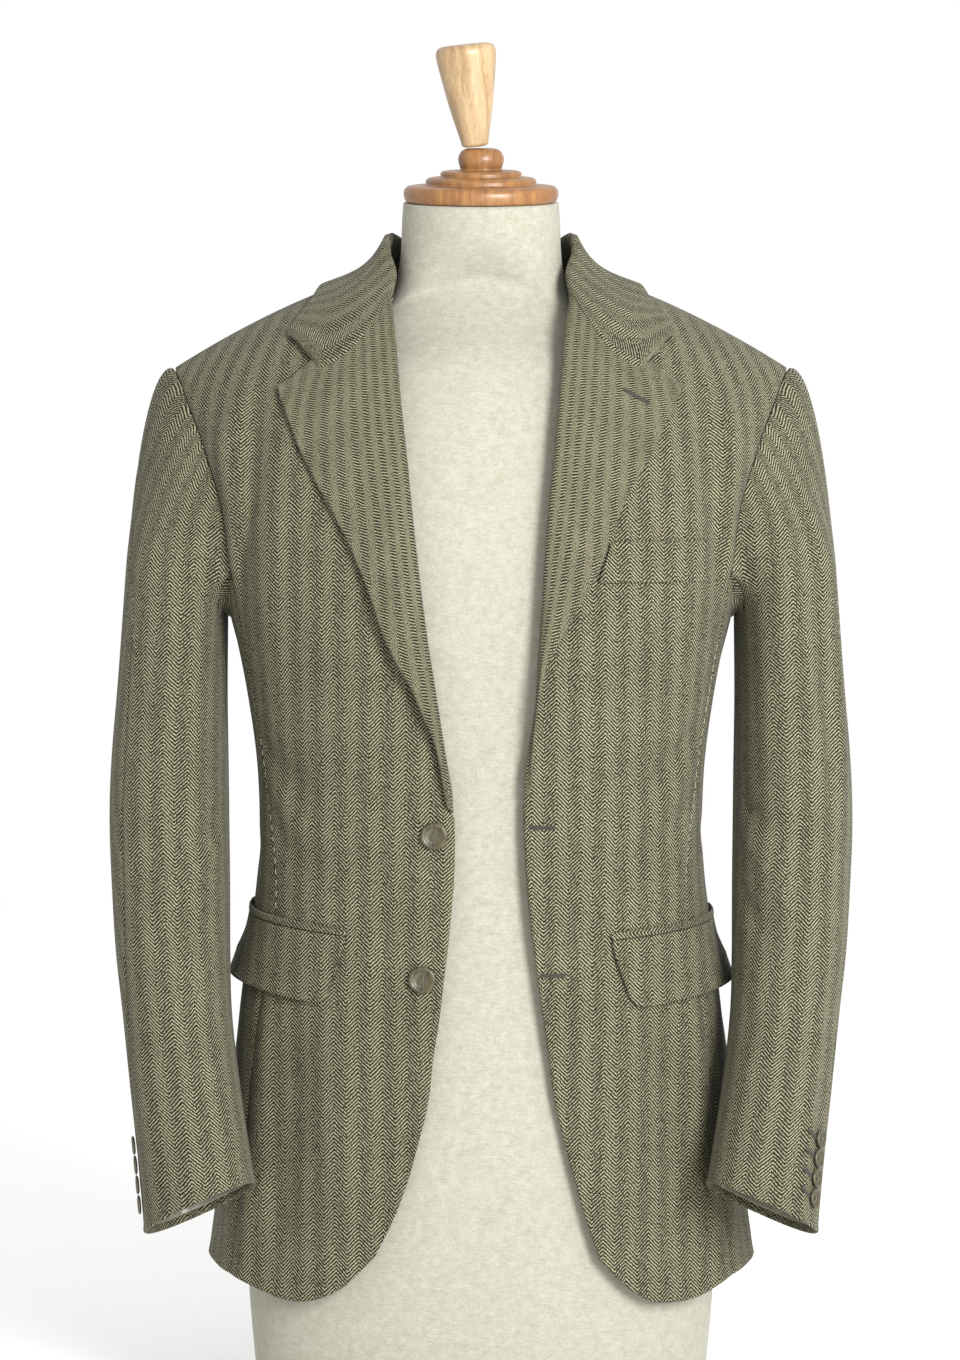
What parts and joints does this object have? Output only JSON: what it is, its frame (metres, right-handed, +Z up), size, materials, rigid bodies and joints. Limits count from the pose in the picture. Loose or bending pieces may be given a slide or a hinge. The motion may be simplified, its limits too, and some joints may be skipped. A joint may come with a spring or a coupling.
{
  "type": "blazer on dress form",
  "caption": "Notch-lapel herringbone blazer worn open on a limbless linen dress form with a turned beech cap, tapered finial and flat base board.",
  "frame": {"origin": "on the floor, under the middle of the object", "axes": "+Z up, -Y is the way the front faces, +X is the viewer's right, the wearer's left"},
  "size_m": [0.5516, 0.2713, 1.0314],
  "materials": {
    "herringbone_cloth": "brushed wool herringbone",
    "satin_lining": "satin weave",
    "horn": "semi-polished",
    "linen": "plain weave",
    "beech": "clear satin varnish"
  },
  "bodies": {
    "root": {"front_left": "herringbone_cloth", "side_left": "herringbone_cloth", "back_left": "herringbone_cloth", "top_sleeve_left": "herringbone_cloth", "under_sleeve_left": "herringbone_cloth", "lapel_left": "herringbone_cloth", "flap_left": "herringbone_cloth", "jet_left": "herringbone_cloth", "cuff_lining_left": "satin_lining", "cuff_button_left_1": "horn", "cuff_button_left_2": "horn", "cuff_button_left_3": "horn", "cuff_button_left_4": "horn", "front_right": "herringbone_cloth", "side_right": "herringbone_cloth", "back_right": "herringbone_cloth", "top_sleeve_right": "herringbone_cloth", "under_sleeve_right": "herringbone_cloth", "lapel_right": "herringbone_cloth", "flap_right": "herringbone_cloth", "jet_right": "herringbone_cloth", "cuff_lining_right": "satin_lining", "cuff_button_right_1": "horn", "cuff_button_right_2": "horn", "cuff_button_right_3": "horn", "cuff_button_right_4": "horn", "collar": "herringbone_cloth", "breast_welt": "herringbone_cloth", "front_button_1": "horn", "front_button_2": "horn", "form_body": "linen", "neck_cap": "beech", "finial": "beech", "base_board": "beech"}
  },
  "joints": []
}
